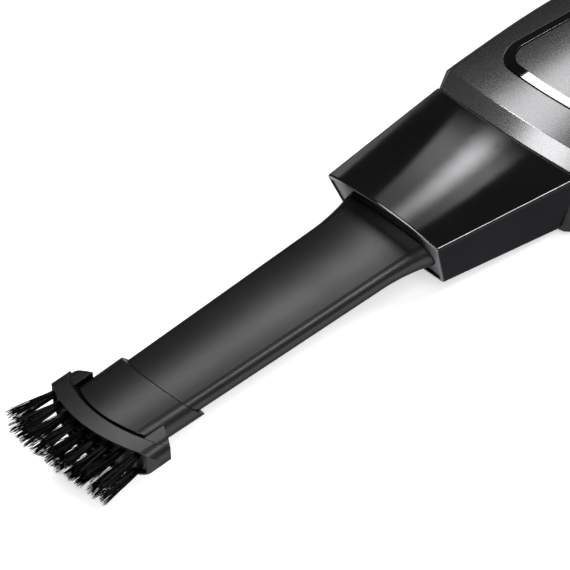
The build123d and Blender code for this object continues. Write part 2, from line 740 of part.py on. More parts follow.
def bosses():
    posts = [rod_z(at(behind), y, 0, REACH, screw_boss_radius()) for behind, y in SCREWS]
    return Part() + posts


def board_posts():
    posts = []
    for behind in (BOARD_FRONT + BOARD_POST_INSET, BOARD_REAR - BOARD_POST_INSET):
        for side in (1, -1):
            y = side * (BOARD_HALF_WIDTH - BOARD_POST_INSET)
            posts.append(rod_z(at(behind), y, BOARD_Z + BOARD_THICKNESS, REACH, BOARD_POST_RADIUS))
    return Part() + posts


def light_rods(clearance):
    rods = []
    for index in range(LIGHTS):
        y = (index - (LIGHTS - 1) / 2) * LIGHT_PITCH
        rods.append(rod_z(at(LIGHT_BEHIND), y, BOARD_Z + BOARD_THICKNESS, REACH, LIGHT_RADIUS + clearance))
    return rods


def button_bore():
    return rod_z(at(BUTTON_BEHIND), 0, BOARD_Z, REACH, BUTTON_RADIUS + BUTTON_CLEARANCE)


def top_shell():
    inner = body_form(WALL / 2)
    shell = (body_block() - cavity()) & above(PARTING_Z)
    inside = (bosses() + board_posts()) & inner & above(PARTING_Z)
    shell = shell + inside
    cuts = light_rods(LIGHT_CLEARANCE) + [button_bore()]
    for behind, y in SCREWS:
        cuts.append(rod_z(at(behind), y, PARTING_Z, PARTING_Z + SCREW_GRIP, SCREW_RADIUS))
    return shell - (ring_outline(0) - body_form(RING_DEPTH)) - cuts


def vent_window(side, inset):
    y0, y1 = sorted((side * CRADLE_HALF_WIDTH, side * REACH))
    return box(at(VENT_FRONT) + inset, at(VENT_REAR) - inset, y0, y1, VENT_BOTTOM + inset, VENT_TOP - inset)


def pad_outline(inset):
    middle = at((PAD_FRONT + PAD_REAR) / 2)
    length = PAD_REAR - PAD_FRONT - 2 * inset
    face = RectangleRounded(length, 2 * (PAD_HALF_WIDTH - inset), PAD_CORNER - inset)
    return extrude(Pos(middle, 0, 0) * face, amount=HOLDER_BOTTOM, dir=(0, 0, 1))


def motor_front():
    return LIP_DEPTH + BULKHEAD_THICKNESS + SHROUD_LENGTH + MOTOR_PLATE_THICKNESS


def boot_front():
    return motor_front() + MOTOR_LENGTH - BOOT_LENGTH


def cradle():
    front = at(boot_front() + (BOOT_LENGTH - CRADLE_THICKNESS) / 2)
    rear = front + CRADLE_THICKNESS
    rib = box(front, rear, -CRADLE_HALF_WIDTH, CRADLE_HALF_WIDTH, 0, MOTOR_Z)
    return rib - rod_x(front, rear, 0, MOTOR_Z, MOTOR_RADIUS + BOOT_THICKNESS)


def holder_ribs():
    ribs = []
    for behind in (CELL_FRONT + HOLDER_MARGIN, CELL_FRONT + CELL_LENGTH - HOLDER_MARGIN):
        front = at(behind) - HOLDER_RIB / 2
        ribs.append(box(front, front + HOLDER_RIB, -CELL_RADIUS, CELL_RADIUS, 0, HOLDER_BOTTOM))
    return Part() + ribs


def bottom_shell():
    inner = body_form(WALL / 2)
    shell = (body_block() - cavity()) & below(PARTING_Z)
    inside = (bosses() + cradle() + holder_ribs()) & inner & below(PARTING_Z)
    shell = shell + inside
    cuts = [vent_window(1, 0), vent_window(-1, 0)]
    for behind, y in SCREWS:
        cuts.append(rod_z(at(behind), y, 0, SCREW_SINK, SCREW_HEAD_RADIUS + SCREW_CLEARANCE))
        cuts.append(rod_z(at(behind), y, 0, PARTING_Z, SCREW_RADIUS + SCREW_CLEARANCE))
    return shell - (pad_outline(0) - body_form(PAD_DEPTH)) - cuts


def decor_ring():
    band = ring_outline(INLAY_CLEARANCE) - ring_outline(RING_BAND)
    return (band & body_form(-RING_PROUD)) - body_form(RING_DEPTH)


def top_panel():
    panel = (ring_outline(RING_BAND + INLAY_CLEARANCE) & body_form(0)) - body_form(RING_DEPTH)
    return panel - light_rods(LIGHT_CLEARANCE) - button_bore()


def vent_grille(side):
    skin = body_form(SEAT_CLEARANCE) - body_form(WALL)
    grille = skin & vent_window(side, INLAY_CLEARANCE)
    pitch = (VENT_REAR - VENT_FRONT - 2 * VENT_FRAME) / VENT_SLOTS
    y0, y1 = sorted((side * CRADLE_HALF_WIDTH, side * REACH))
    slots = []
    for index in range(VENT_SLOTS):
        x = at(VENT_FRONT + VENT_FRAME + (index + 0.5) * pitch)
        slots.append(box(x - VENT_SLOT_WIDTH / 2, x + VENT_SLOT_WIDTH / 2, y0, y1, VENT_BOTTOM + VENT_FRAME,
                         VENT_TOP - VENT_FRAME))
    return grille - slots


def exhaust_foam(side):
    sheet = body_form(WALL + SEAT_CLEARANCE) - body_form(WALL + SEAT_CLEARANCE + FOAM_THICKNESS)
    return sheet & vent_window(side, -VENT_FRAME)


def grip_pad():
    return (pad_outline(INLAY_CLEARANCE) & body_form(0)) - body_form(PAD_DEPTH)


def base_screw(behind, y):
    x = at(behind)
    head = rod_z(x, y, SCREW_SINK - SCREW_HEAD_HEIGHT, SCREW_SINK, SCREW_HEAD_RADIUS)
    shank = rod_z(x, y, SCREW_SINK, PARTING_Z + SCREW_GRIP, SCREW_RADIUS)
    long_half = SCREW_CROSS_LENGTH / 2
    short_half = SCREW_CROSS_WIDTH / 2
    depth = SCREW_SINK - SCREW_HEAD_HEIGHT + SCREW_CROSS_DEPTH
    slot = box(x - short_half, x + short_half, y - long_half, y + long_half, 0, depth)
    cross = box(x - long_half, x + long_half, y - short_half, y + short_half, 0, depth)
    return head + shank - slot - cross


# Fan and motor

def shroud_front():
    return at(LIP_DEPTH + BULKHEAD_THICKNESS)


def fan_shroud():
    front = shroud_front()
    rear = front + SHROUD_LENGTH
    drum = rod_x(front, rear, 0, MOTOR_Z, SHROUD_RADIUS)
    room = rod_x(front + SHROUD_WALL, rear, 0, MOTOR_Z, SHROUD_RADIUS - SHROUD_WALL)
    inlet = rod_x(front, rear, 0, MOTOR_Z, SHROUD_INLET_RADIUS)
    return drum - room - inlet


def motor_plate():
    front = shroud_front() + SHROUD_LENGTH
    rear = front + MOTOR_PLATE_THICKNESS
    plate = rod_x(front, rear, 0, MOTOR_Z, SHROUD_RADIUS)
    plate = plate - rod_x(front, rear, 0, MOTOR_Z, BEARING_RADIUS + SEAT_CLEARANCE)
    for index in range(PLATE_HOLES):
        angle = 2 * pi * (index + 0.5) / PLATE_HOLES
        y = PLATE_HOLE_CIRCLE * cos(angle)
        z = MOTOR_Z + PLATE_HOLE_CIRCLE * sin(angle)
        plate = plate - rod_x(front, rear, y, z, PLATE_HOLE_RADIUS)
    return plate


def blade():
    # One curved blade, as an arc in the plane of the fan
    start = HUB_RADIUS - BLADE_THICKNESS
    turn = degrees(2 * asin((IMPELLER_RADIUS - start) / (2 * BLADE_ARC_RADIUS)))
    ring = Circle(BLADE_ARC_RADIUS + BLADE_THICKNESS / 2) - Circle(BLADE_ARC_RADIUS - BLADE_THICKNESS / 2)
    far = (REACH * cos(radians(turn)), REACH * sin(radians(turn)))
    sector = Polygon((0, 0), (REACH, 0), far, align=None)
    arc = Rot(0, 0, -turn / 2 - 90) * (ring & sector)
    return Pos((start + IMPELLER_RADIUS) / 2, BLADE_ARC_RADIUS * cos(radians(turn / 2))) * arc


def impeller():
    front = shroud_front() + IMPELLER_START
    plate_front = front + BLADE_HEIGHT
    tip = rod_x(front, plate_front + IMPELLER_PLATE, 0, MOTOR_Z, IMPELLER_RADIUS)
    fan = rod_x(plate_front, plate_front + IMPELLER_PLATE, 0, MOTOR_Z, IMPELLER_RADIUS)
    fan = fan + rod_x(front, front + HUB_LENGTH, 0, MOTOR_Z, HUB_RADIUS)
    for index in range(BLADES):
        face = section_plane(front) * (Pos(0, MOTOR_Z) * Rot(0, 0, 360 * index / BLADES) * blade())
        fan = fan + (extrude(face, amount=BLADE_HEIGHT, dir=(1, 0, 0)) & tip)
    return fan - rod_x(front, front + HUB_LENGTH, 0, MOTOR_Z, SHAFT_RADIUS)


def shaft():
    rear = at(motor_front() + MOTOR_LENGTH + MOTOR_CAP_LENGTH)
    return rod_x(shroud_front() + IMPELLER_START, rear, 0, MOTOR_Z, SHAFT_RADIUS)


def armature():
    front = at(motor_front() + ARMATURE_MARGIN)
    rear = at(motor_front() + MOTOR_LENGTH - ARMATURE_MARGIN)
    core = rod_x(front, rear, 0, MOTOR_Z, ARMATURE_RADIUS)
    return core - rod_x(front, rear, 0, MOTOR_Z, SHAFT_RADIUS)


def motor_can():
    front = at(motor_front())
    rear = front + MOTOR_LENGTH
    can = rod_x(front, rear, 0, MOTOR_Z, MOTOR_RADIUS)
    room = rod_x(front + MOTOR_WALL, rear, 0, MOTOR_Z, MOTOR_RADIUS - MOTOR_WALL)
    return can - room - rod_x(front, rear, 0, MOTOR_Z, BEARING_RADIUS)


def motor_end_cap():
    front = at(motor_front() + MOTOR_LENGTH)
    cap = rod_x(front, front + MOTOR_CAP_LENGTH, 0, MOTOR_Z, MOTOR_RADIUS)
    return cap - rod_x(front, front + MOTOR_CAP_LENGTH, 0, MOTOR_Z, BEARING_RADIUS)


def bearing(front, length):
    ring = rod_x(front, front + length, 0, MOTOR_Z, BEARING_RADIUS)
    return ring - rod_x(front, front + length, 0, MOTOR_Z, SHAFT_RADIUS + RUNNING_CLEARANCE)


def motor_boot():
    front = at(boot_front())
    sleeve = rod_x(front, front + BOOT_LENGTH, 0, MOTOR_Z, MOTOR_RADIUS + BOOT_THICKNESS)
    return sleeve - rod_x(front, front + BOOT_LENGTH, 0, MOTOR_Z, MOTOR_RADIUS)


# Power

def battery_cell(side):
    y = side * (CELL_RADIUS + CELL_GAP / 2)
    return rod_x(at(CELL_FRONT), at(CELL_FRONT + CELL_LENGTH), y, CELL_Z, CELL_RADIUS)


def battery_holder():
    half_width = 2 * CELL_RADIUS + CELL_GAP / 2
    front = at(CELL_FRONT)
    tray = box(front, front + CELL_LENGTH, -half_width, half_width, HOLDER_BOTTOM, HOLDER_TOP)
    return tray - battery_cell(1) - battery_cell(-1)


def cell_strap(x0):
    return box(x0, x0 + STRAP_THICKNESS, -STRAP_HALF_WIDTH, STRAP_HALF_WIDTH, CELL_Z - STRAP_HEIGHT / 2,
               CELL_Z + STRAP_HEIGHT / 2)


def circuit_board():
    return box(at(BOARD_FRONT), at(BOARD_REAR), -BOARD_HALF_WIDTH, BOARD_HALF_WIDTH, BOARD_Z,
               BOARD_Z + BOARD_THICKNESS)


def switch_top():
    return BOARD_Z + BOARD_THICKNESS + SWITCH_HEIGHT + SWITCH_PLUNGER_HEIGHT


def power_switch():
    bottom = BOARD_Z + BOARD_THICKNESS
    x = at(BUTTON_BEHIND)
    half = SWITCH_SIDE / 2
    base = box(x - half, x + half, -half, half, bottom, bottom + SWITCH_HEIGHT)
    return base + rod_z(x, 0, bottom, switch_top(), SWITCH_PLUNGER_RADIUS)


def power_button():
    # Cap standing proud of the panel, held by a flange under the shell
    x = at(BUTTON_BEHIND)
    bottom = switch_top() + BUTTON_TRAVEL + RUNNING_CLEARANCE
    stem = rod_z(x, 0, bottom, REACH, BUTTON_RADIUS) & body_form(-BUTTON_PROUD)
    flange = rod_z(x, 0, bottom, bottom + BUTTON_FLANGE_THICKNESS, BUTTON_RADIUS + BUTTON_FLANGE_LIP)
    return stem + flange


def light_pipe(rod):
    return rod & body_form(0)


# Rear end

def cap_section(behind, inset):
    station = (behind,) + BODY_STATIONS[-1][1:]
    return body_section(station, inset)


def cap_form(inset):
    start = BODY_STATIONS[-1][0]
    sections = [cap_section(start, inset), cap_section(start + CAP_SHOULDER, CAP_SHOULDER_INSET + inset)]
    sections.append(cap_section(start + CAP_LENGTH - inset, CAP_END_INSET + inset))
    return loft(sections)


def cap_end():
    return at(BODY_STATIONS[-1][0] + CAP_LENGTH)


def port_hole(clearance):
    width = PORT_WIDTH + 2 * clearance
    height = PORT_HEIGHT + 2 * clearance
    return block_across(cap_end() - PORT_LENGTH, cap_end(), width, height, PORT_Z, PORT_CORNER + clearance)


def cover_pocket(clearance, thickness):
    half = COVER_WIDTH / 2 + clearance
    bottom = PORT_Z - COVER_HEIGHT / 2 - clearance
    return box(cap_end() - thickness, cap_end() + COVER_PROUD, -half, half, bottom, cover_pin_z())


def cover_pin_z():
    return PORT_Z + COVER_HEIGHT / 2 + COVER_KNUCKLE_RADIUS


def cover_pin_x():
    return cap_end() + COVER_PROUD - COVER_KNUCKLE_RADIUS


def cover_pin_half():
    return COVER_WIDTH / 2 + COVER_CLEARANCE + COVER_PIN_REACH


def rear_cap():
    cap = cap_form(0) - cap_form(WALL)
    seat = block_across(at(BODY_STATIONS[-1][0]) + WALL, cap_end(), COVER_WIDTH + 2 * SEAT_SIDE,
                        COVER_HEIGHT + 2 * SEAT_RISE, PORT_Z, WALL)
    cap = cap + (seat & cap_form(WALL / 2))
    depth = COVER_THICKNESS - COVER_PROUD + COVER_CLEARANCE
    cap = cap - port_hole(PORT_CLEARANCE) - cover_pocket(COVER_CLEARANCE, depth)
    room_half = COVER_WIDTH / 2 + COVER_CLEARANCE
    room_radius = COVER_KNUCKLE_RADIUS + COVER_CLEARANCE
    knuckle_room = rod_y(cover_pin_x(), -room_half, room_half, cover_pin_z(), room_radius)
    pin_room = rod_y(cover_pin_x(), -cover_pin_half(), cover_pin_half(), cover_pin_z(), COVER_PIN_RADIUS)
    return cap - knuckle_room - pin_room


def charge_port():
    body = port_hole(0) & slab(0, cap_end() - COVER_THICKNESS + COVER_PROUD - COVER_CLEARANCE)
    mouth = block_across(cap_end() - PORT_LENGTH + WALL, cap_end(), PORT_WIDTH - 2 * PORT_WALL,
                         PORT_HEIGHT - 2 * PORT_WALL, PORT_Z, PORT_CORNER - PORT_WALL)
    return body - mouth


def port_cover():
    outer = cap_end() + COVER_PROUD
    half = COVER_WIDTH / 2
    flap = box(outer - COVER_THICKNESS, outer, -half, half, PORT_Z - COVER_HEIGHT / 2, cover_pin_z())
    knuckle = rod_y(cover_pin_x(), -half, half, cover_pin_z(), COVER_KNUCKLE_RADIUS)
    hole = rod_y(cover_pin_x(), -REACH, REACH, cover_pin_z(), COVER_PIN_RADIUS + RUNNING_CLEARANCE)
    return flap + knuckle - hole


def cover_pin():
    return rod_y(cover_pin_x(), -cover_pin_half(), cover_pin_half(), cover_pin_z(), COVER_PIN_RADIUS)


def build():
    save("brush_collar", brush_collar())
    save("brush_bristles", brush_bristles())
    save("crevice_tool", crevice_tool())
    save("dust_cup", dust_cup())
    save("cup_seal", cup_seal())
    save("inlet_flap", inlet_flap())
    save("flap_pin", flap_pin())
    save("filter_frame", filter_frame())
    save("filter_mesh", filter_mesh())
    save("filter_pleats", filter_pleats())
    save("filter_seal", filter_seal())
    save("bulkhead", bulkhead())
    save("top_shell", top_shell())
    save("bottom_shell", bottom_shell())
    save("decor_ring", decor_ring())
    save("top_panel", top_panel())
    save("grip_pad", grip_pad())
    for name, side in (("left", 1), ("right", -1)):
        save(f"vent_grille_{name}", vent_grille(side))
        save(f"exhaust_foam_{name}", exhaust_foam(side))
        save(f"battery_cell_{name}", battery_cell(side))
    for index, (behind, y) in enumerate(SCREWS, 1):
        save(f"base_screw_{index}", base_screw(behind, y))
    save("fan_shroud", fan_shroud())
    save("motor_plate", motor_plate())
    save("impeller", impeller())
    save("shaft", shaft())
    save("armature", armature())
    save("motor_can", motor_can())
    save("motor_end_cap", motor_end_cap())
    save("front_bearing", bearing(at(motor_front()), MOTOR_CAP_LENGTH))
    save("rear_bearing", bearing(at(motor_front() + MOTOR_LENGTH), MOTOR_CAP_LENGTH))
    save("motor_boot", motor_boot())
    save("battery_holder", battery_holder())
    save("cell_strap_front", cell_strap(at(CELL_FRONT) - STRAP_THICKNESS))
    save("cell_strap_rear", cell_strap(at(CELL_FRONT + CELL_LENGTH)))
    save("circuit_board", circuit_board())
    save("power_switch", power_switch())
    save("power_button", power_button())
    for index, rod in enumerate(light_rods(0), 1):
        save(f"light_pipe_{index}", light_pipe(rod))
    save("rear_cap", rear_cap())
    save("charge_port", charge_port())
    save("port_cover", port_cover())
    save("cover_pin", cover_pin())


build()
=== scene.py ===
import json
import math
import random

import bpy
from mathutils import Matrix, Vector


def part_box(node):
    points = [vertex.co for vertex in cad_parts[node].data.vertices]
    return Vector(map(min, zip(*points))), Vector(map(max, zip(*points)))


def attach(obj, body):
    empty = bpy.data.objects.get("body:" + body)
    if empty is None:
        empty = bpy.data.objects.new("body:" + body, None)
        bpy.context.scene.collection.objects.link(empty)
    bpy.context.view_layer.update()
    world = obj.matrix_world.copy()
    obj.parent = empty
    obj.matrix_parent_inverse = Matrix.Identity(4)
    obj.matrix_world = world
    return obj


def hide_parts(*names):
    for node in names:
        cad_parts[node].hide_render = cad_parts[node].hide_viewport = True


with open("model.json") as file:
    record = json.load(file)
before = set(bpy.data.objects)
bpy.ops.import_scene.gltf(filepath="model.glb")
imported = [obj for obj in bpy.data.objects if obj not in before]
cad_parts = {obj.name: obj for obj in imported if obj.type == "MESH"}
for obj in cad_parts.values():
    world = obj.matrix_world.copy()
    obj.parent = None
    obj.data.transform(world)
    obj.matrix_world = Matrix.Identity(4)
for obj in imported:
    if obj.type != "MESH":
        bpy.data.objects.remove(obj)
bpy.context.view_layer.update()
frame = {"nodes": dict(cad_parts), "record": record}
nodes = frame["nodes"]

MM = 0.001
WHITE = (1.0, 1.0, 1.0, 1.0)
BLUE_SHARE = 1.02


def grey(level):
    # A slightly cool grey
    return (level, level, level * BLUE_SHARE, 1.0)


# Camera: it looks at a point of the nose, from an azimuth, an elevation and a roll in degrees
IMAGE_SIDE = 570
FOCAL_PIXELS = 4522.7
SENSOR_WIDTH = 36.0
CAMERA_TARGET = Vector((-0.2285, 0.00816, 0.032))
CAMERA_DISTANCE = 2.1205
CAMERA_AZIMUTH = -41.726
CAMERA_ELEVATION = 43.95
CAMERA_ROLL = -2.566
CAMERA_REACH = 20.0

# Surfaces: noise lies mostly between a low and a high value, over which a colour or a roughness changes
NOISE_LOW = 0.3
NOISE_HIGH = 0.7
SLOW_SCALE = 30.0
SLOW_DETAIL = 3.0
FINE_DETAIL = 2.0
RELIEF_DEPTH = 0.1 * MM
EDGE_RADIUS = 0.4 * MM
EDGE_SAMPLES = 8

# Moulded surfaces: dark and light colour, roughness, scale and strength of the fine relief, other sockets
MOULDED = {
    "black_plastic": (grey(0.038), grey(0.044), (0.32, 0.40), 1500.0, 0.10,
                      {"Metallic": 1.0, "Specular Tint": grey(0.4)}),
    "nylon": (grey(0.008), grey(0.014), (0.25, 0.40), 700.0, 0.0,
              {"Metallic": 1.0, "Specular Tint": grey(0.2)}),
    "ring_black": (grey(0.0001), grey(0.0003), (0.03, 0.06), 60.0, 0.01, {"Specular IOR Level": 0.14}),
    "soft_black": (grey(0.012), grey(0.02), (0.62, 0.75), 1200.0, 0.15, {}),
    "steel": (grey(0.55), grey(0.62), (0.25, 0.35), 900.0, 0.05, {"Metallic": 1.0}),
    "paper": ((0.78, 0.75, 0.66, 1.0), (0.86, 0.84, 0.78, 1.0), (0.80, 0.90), 900.0, 0.20, {}),
    "foam": (grey(0.02), grey(0.05), (0.85, 0.95), 1400.0, 0.80, {}),
    "brass": ((0.62, 0.42, 0.16, 1.0), (0.72, 0.52, 0.22, 1.0), (0.30, 0.40), 900.0, 0.05, {"Metallic": 1.0}),
    "fan_grey": (grey(0.3), grey(0.36), (0.40, 0.50), 1200.0, 0.08, {}),
    "board_green": ((0.01, 0.12, 0.04, 1.0), (0.02, 0.18, 0.06, 1.0), (0.30, 0.45), 900.0, 0.08, {}),
    "cell_wrap": ((0.04, 0.20, 0.34, 1.0), (0.06, 0.25, 0.40, 1.0), (0.20, 0.30), 300.0, 0.02, {}),
    "light": (grey(0.75), grey(0.85), (0.10, 0.15), 200.0, 0.01, {}),
}

# Cup: polished black. Where its normal points forwards, most of all beside the mouth, it is painted lighter
# and rougher: a painted highlight on the front face and the lip
CUP_METAL = 0.96
CUP_TINT = 0.45
CUP_DARK = 0.018
CUP_LIGHT = 0.022
CUP_ROUGHNESS = 0.09
FRONT_GLINT_GREY = 0.20
FRONT_GLINT_ROUGHNESS = 0.5
FRONT_GLINT_NORMAL_START = -0.55
FRONT_GLINT_NORMAL_FULL = -0.9
FRONT_GLINT_ASIDE_START = 22.0 * MM
FRONT_GLINT_ASIDE_FULL = 30.0 * MM
FRONT_GLINT_MIDDLE = 0.1

# Silver paint
SILVER_TINT = 0.2
SILVER_DARK = 0.125
SILVER_LIGHT = 0.185
SILVER_ROUGHNESS = (0.22, 0.30)
SILVER_EDGE_RADIUS = 0.8 * MM
FLAKE_SCALE = 2000.0
FLAKE_DETAIL = 1.0
FLAKE_STRENGTH = 0.10

# Brush
TUFTS_PER_ROW = 9
TUFT_PITCH = 7.0 * MM
TUFT_HALF_WIDTH = 1.6 * MM
TUFT_HALF_HEIGHT = 1.4 * MM
ROW_RISE = 4.5 * MM
LOCKS_PER_TUFT = 4
STRANDS_PER_LOCK = 16
LOCK_LEAN = 0.035
STRAND_LEAN = 0.014
STRAND_RADIUS = 0.19 * MM
STRAND_TAPER = 0.45
STRAND_SIDES = 4
STRAND_STEPS = 4
STRAND_BEND = 0.3 * MM
STRAND_SEED = 7
TIP_SPREAD = 0.09
TIP_RAGGED = 1.2 * MM
FRONT_RADIUS = 64.0 * MM
TIP_RADIUS = 260.0 * MM
FAN_ANGLE = 6.0
ROOT_DEPTH = 1.2 * MM
FLANGE_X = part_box("brush_collar")[0].x
TIPS_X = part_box("brush_bristles")[0].x

# Floor
FLOOR_HALF = 4.0
FLOOR_Z = -0.3 * MM
FLOOR_DARK = 0.80
FLOOR_LIGHT = 0.82
FLOOR_SCALE = 2.0
FLOOR_ROUGHNESS = 0.9
FLOOR_GLOW = 0.45

# Light. Each softbox stands in a direction from the nose, at a distance, and has a length along X, a width,
# a radiance, where 1 is white, and the group of pieces that it lights. The fill box lights every piece.
# A lamp has a radiance of 1 at UNIT_POWER watts per square metre.
NOSE = Vector((-0.150, 0.0, 0.045))
WORLD_LEVEL = 0.2
UNIT_POWER = 4.0
BOXES = {
    "main_box": ((0.479, 0.38, 0.79), 1.2, 0.80, 0.32, 5.2, "plain"),
    "silver_box": ((0.479, 0.41, 0.775), 1.2, 0.80, 0.44, 3.4, "silver"),
    "crest_box": ((0.0, 0.44, 0.90), 1.0, 0.20, 0.30, 20.0, "silver"),
    "top_box": ((-0.40, 0.40, 0.80), 1.0, 0.60, 0.36, 5.5, "plain"),
    "bevel_box": ((-0.44, 0.10, 0.892), 1.0, 0.60, 0.50, 5.0, "silver"),
    "right_box": ((0.479, -0.50, 0.72), 1.2, 0.60, 0.20, 10.0, "plain"),
    "fill_box": ((-0.40, -0.60, 0.69), 2.0, 1.20, 1.20, 6.0, None),
    "edge_box": ((0.479, -0.69, 0.54), 0.8, 0.60, 0.20, 40.0, "gloss"),
    "ridge_box": ((0.479, 0.837, 0.265), 0.8, 0.60, 0.07, 4.0, "cup"),
    "lip_box": ((-0.55, 0.30, 0.78), 0.45, 0.35, 0.20, 20.0, "cup"),
    "ring_box": ((0.421, 0.424, 0.807), 1.24, 0.30, 0.62, 60.0, "ring"),
}
GROUPS = {
    "plain": ("EXCLUDE", ("dust_cup", "top_shell", "top_panel")),
    "silver": ("INCLUDE", ("top_shell", "top_panel")),
    "gloss": ("INCLUDE", ("dust_cup", "decor_ring")),
    "cup": ("INCLUDE", ("dust_cup",)),
    "ring": ("INCLUDE", ("decor_ring",)),
}

# Sheen of the cup: one lamp whose light is a slanting band with a bright core. The band rises to its crest
# and falls to nothing along the lamp, and its core is set off from the middle across it.
SHEEN_AIM = Vector((-0.130, 0.0, 0.051))
SHEEN_PLACE = Vector((0.042, 0.137, 0.255))
SHEEN_ALONG = Vector((0.605, 0.318, -0.727))
SHEEN_LENGTH = 230.0 * MM
SHEEN_WIDTH = 180.0 * MM
SHEEN_RADIANCE = 22.0
SHEEN_SHEAR = 0.775
SHEEN_START = -48.0 * MM
SHEEN_CREST = 14.0 * MM
SHEEN_END = 49.0 * MM
SHEEN_START_LEVEL = 0.35
SHEEN_SIDE = 72.0 * MM
SHEEN_SOFT = 14.0 * MM
SHEEN_BASE = 0.22
CORE_ACROSS = -8.0 * MM
CORE_SPREAD = 34.0 * MM


def add_object(name, data):
    piece = bpy.data.objects.new(name, data)
    bpy.context.scene.collection.objects.link(piece)
    return piece


def view_vectors(azimuth, elevation):
    # Right, up and backward directions of a level camera
    turn = math.radians(azimuth)
    lift = math.radians(elevation)
    right = Vector((math.cos(turn), math.sin(turn), 0))
    back = Vector((math.sin(turn) * math.cos(lift), -math.cos(turn) * math.cos(lift), math.sin(lift)))
    return right, back.cross(right), back


def make_camera():
    right, up, back = view_vectors(CAMERA_AZIMUTH, CAMERA_ELEVATION)
    place = Matrix((right, up, back)).transposed().to_4x4()
    data = bpy.data.cameras.new("camera")
    data.sensor_width = SENSOR_WIDTH
    data.lens = FOCAL_PIXELS / IMAGE_SIDE * SENSOR_WIDTH
    data.clip_end = CAMERA_REACH
    camera = add_object("camera", data)
    roll = Matrix.Rotation(math.radians(CAMERA_ROLL), 4, "Z")
    camera.matrix_world = Matrix.Translation(CAMERA_TARGET + back * CAMERA_DISTANCE) @ place @ roll
    bpy.context.scene.camera = camera


# Materials

def new_material(name, settings):
    material = bpy.data.materials.new(name)
    material.use_nodes = True
    shader = material.node_tree.nodes["Principled BSDF"]
    for socket, value in settings.items():
        shader.inputs[socket].default_value = value
    return material, material.node_tree, shader


def noise_node(tree, scale, detail):
    place = tree.nodes.new("ShaderNodeTexCoord")
    noise = tree.nodes.new("ShaderNodeTexNoise")
    noise.inputs["Scale"].default_value = scale
    noise.inputs["Detail"].default_value = detail
    tree.links.new(place.outputs["Object"], noise.inputs["Vector"])
    return noise


def colour_ramp(tree, noise, dark, light):
    ramp = tree.nodes.new("ShaderNodeValToRGB")
    ramp.color_ramp.elements[0].color = dark
    ramp.color_ramp.elements[1].color = light
    ramp.color_ramp.elements[0].position = NOISE_LOW
    ramp.color_ramp.elements[1].position = NOISE_HIGH
    tree.links.new(noise.outputs["Fac"], ramp.inputs["Fac"])
    return ramp.outputs["Color"]


def map_range(tree, value, from_low, from_high, to_low, to_high, curve="LINEAR"):
    spread = tree.nodes.new("ShaderNodeMapRange")
    spread.interpolation_type = curve
    spread.inputs["From Min"].default_value = from_low
    spread.inputs["From Max"].default_value = from_high
    spread.inputs["To Min"].default_value = to_low
    spread.inputs["To Max"].default_value = to_high
    tree.links.new(value, spread.inputs["Value"])
    return spread.outputs["Result"]


def combine(tree, operation, *values):
    # Math node of one or two values, each a socket or a number
    node = tree.nodes.new("ShaderNodeMath")
    node.operation = operation
    for socket, value in zip(node.inputs, values):
        if isinstance(value, float):
            socket.default_value = value
        else:
            tree.links.new(value, socket)
    return node.outputs[0]


def split_vector(tree, vector):
    split = tree.nodes.new("ShaderNodeSeparateXYZ")
    tree.links.new(vector, split.inputs["Vector"])
    return split.outputs


def vary_colour(tree, shader, noise, dark, light):
    tree.links.new(colour_ramp(tree, noise, dark, light), shader.inputs["Base Color"])


def vary_roughness(tree, shader, noise, low, high):
    level = map_range(tree, noise.outputs["Fac"], NOISE_LOW, NOISE_HIGH, low, high)
    tree.links.new(level, shader.inputs["Roughness"])


def add_relief(tree, shader, noise, strength, edge_radius):
    # Fine relief over edges that are softened a little
    bevel = tree.nodes.new("ShaderNodeBevel")
    bevel.samples = EDGE_SAMPLES
    bevel.inputs["Radius"].default_value = edge_radius
    bump = tree.nodes.new("ShaderNodeBump")
    bump.inputs["Strength"].default_value = strength
    bump.inputs["Distance"].default_value = RELIEF_DEPTH
    tree.links.new(noise.outputs["Fac"], bump.inputs["Height"])
    tree.links.new(bevel.outputs["Normal"], bump.inputs["Normal"])
    tree.links.new(bump.outputs["Normal"], shader.inputs["Normal"])


def moulded(name, dark, light, roughness, scale, strength, settings):
    # Moulded surface: slow colour change, patchy gloss and a fine relief
    material, tree, shader = new_material(name, settings)
    slow = noise_node(tree, SLOW_SCALE, SLOW_DETAIL)
    fine = noise_node(tree, scale, FINE_DETAIL)
    vary_colour(tree, shader, slow, dark, light)
    vary_roughness(tree, shader, fine, *roughness)
    if strength:
        add_relief(tree, shader, fine, strength, EDGE_RADIUS)
    return material


def painted_front_glint_share(tree):
    # Share of the painted highlight at a point of the cup, from 0 to 1: it rises where the normal points
    # forwards, most of all beside the mouth
    place = tree.nodes.new("ShaderNodeTexCoord")
    forward = split_vector(tree, place.outputs["Normal"])["X"]
    front = map_range(tree, forward, FRONT_GLINT_NORMAL_START, FRONT_GLINT_NORMAL_FULL, 0.0, 1.0)
    aside = combine(tree, "ABSOLUTE", split_vector(tree, place.outputs["Object"])["Y"])
    beside = map_range(tree, aside, FRONT_GLINT_ASIDE_START, FRONT_GLINT_ASIDE_FULL, FRONT_GLINT_MIDDLE, 1.0)
    return combine(tree, "MULTIPLY", front, beside)


def cup_plastic(name):
    settings = {"Metallic": CUP_METAL, "Specular Tint": grey(CUP_TINT)}
    material, tree, shader = new_material(name, settings)
    slow = noise_node(tree, SLOW_SCALE, SLOW_DETAIL)
    # Painted highlight: forward-facing faces beside the mouth get a lighter grey and a higher roughness
    front_glint = painted_front_glint_share(tree)
    mix = tree.nodes.new("ShaderNodeMix")
    mix.data_type = "RGBA"
    mix.inputs["B"].default_value = grey(FRONT_GLINT_GREY)
    tree.links.new(front_glint, mix.inputs["Factor"])
    tree.links.new(colour_ramp(tree, slow, grey(CUP_DARK), grey(CUP_LIGHT)), mix.inputs["A"])
    tree.links.new(mix.outputs["Result"], shader.inputs["Base Color"])
    roughness = map_range(tree, front_glint, 0.0, 1.0, CUP_ROUGHNESS, FRONT_GLINT_ROUGHNESS)
    tree.links.new(roughness, shader.inputs["Roughness"])
    return material


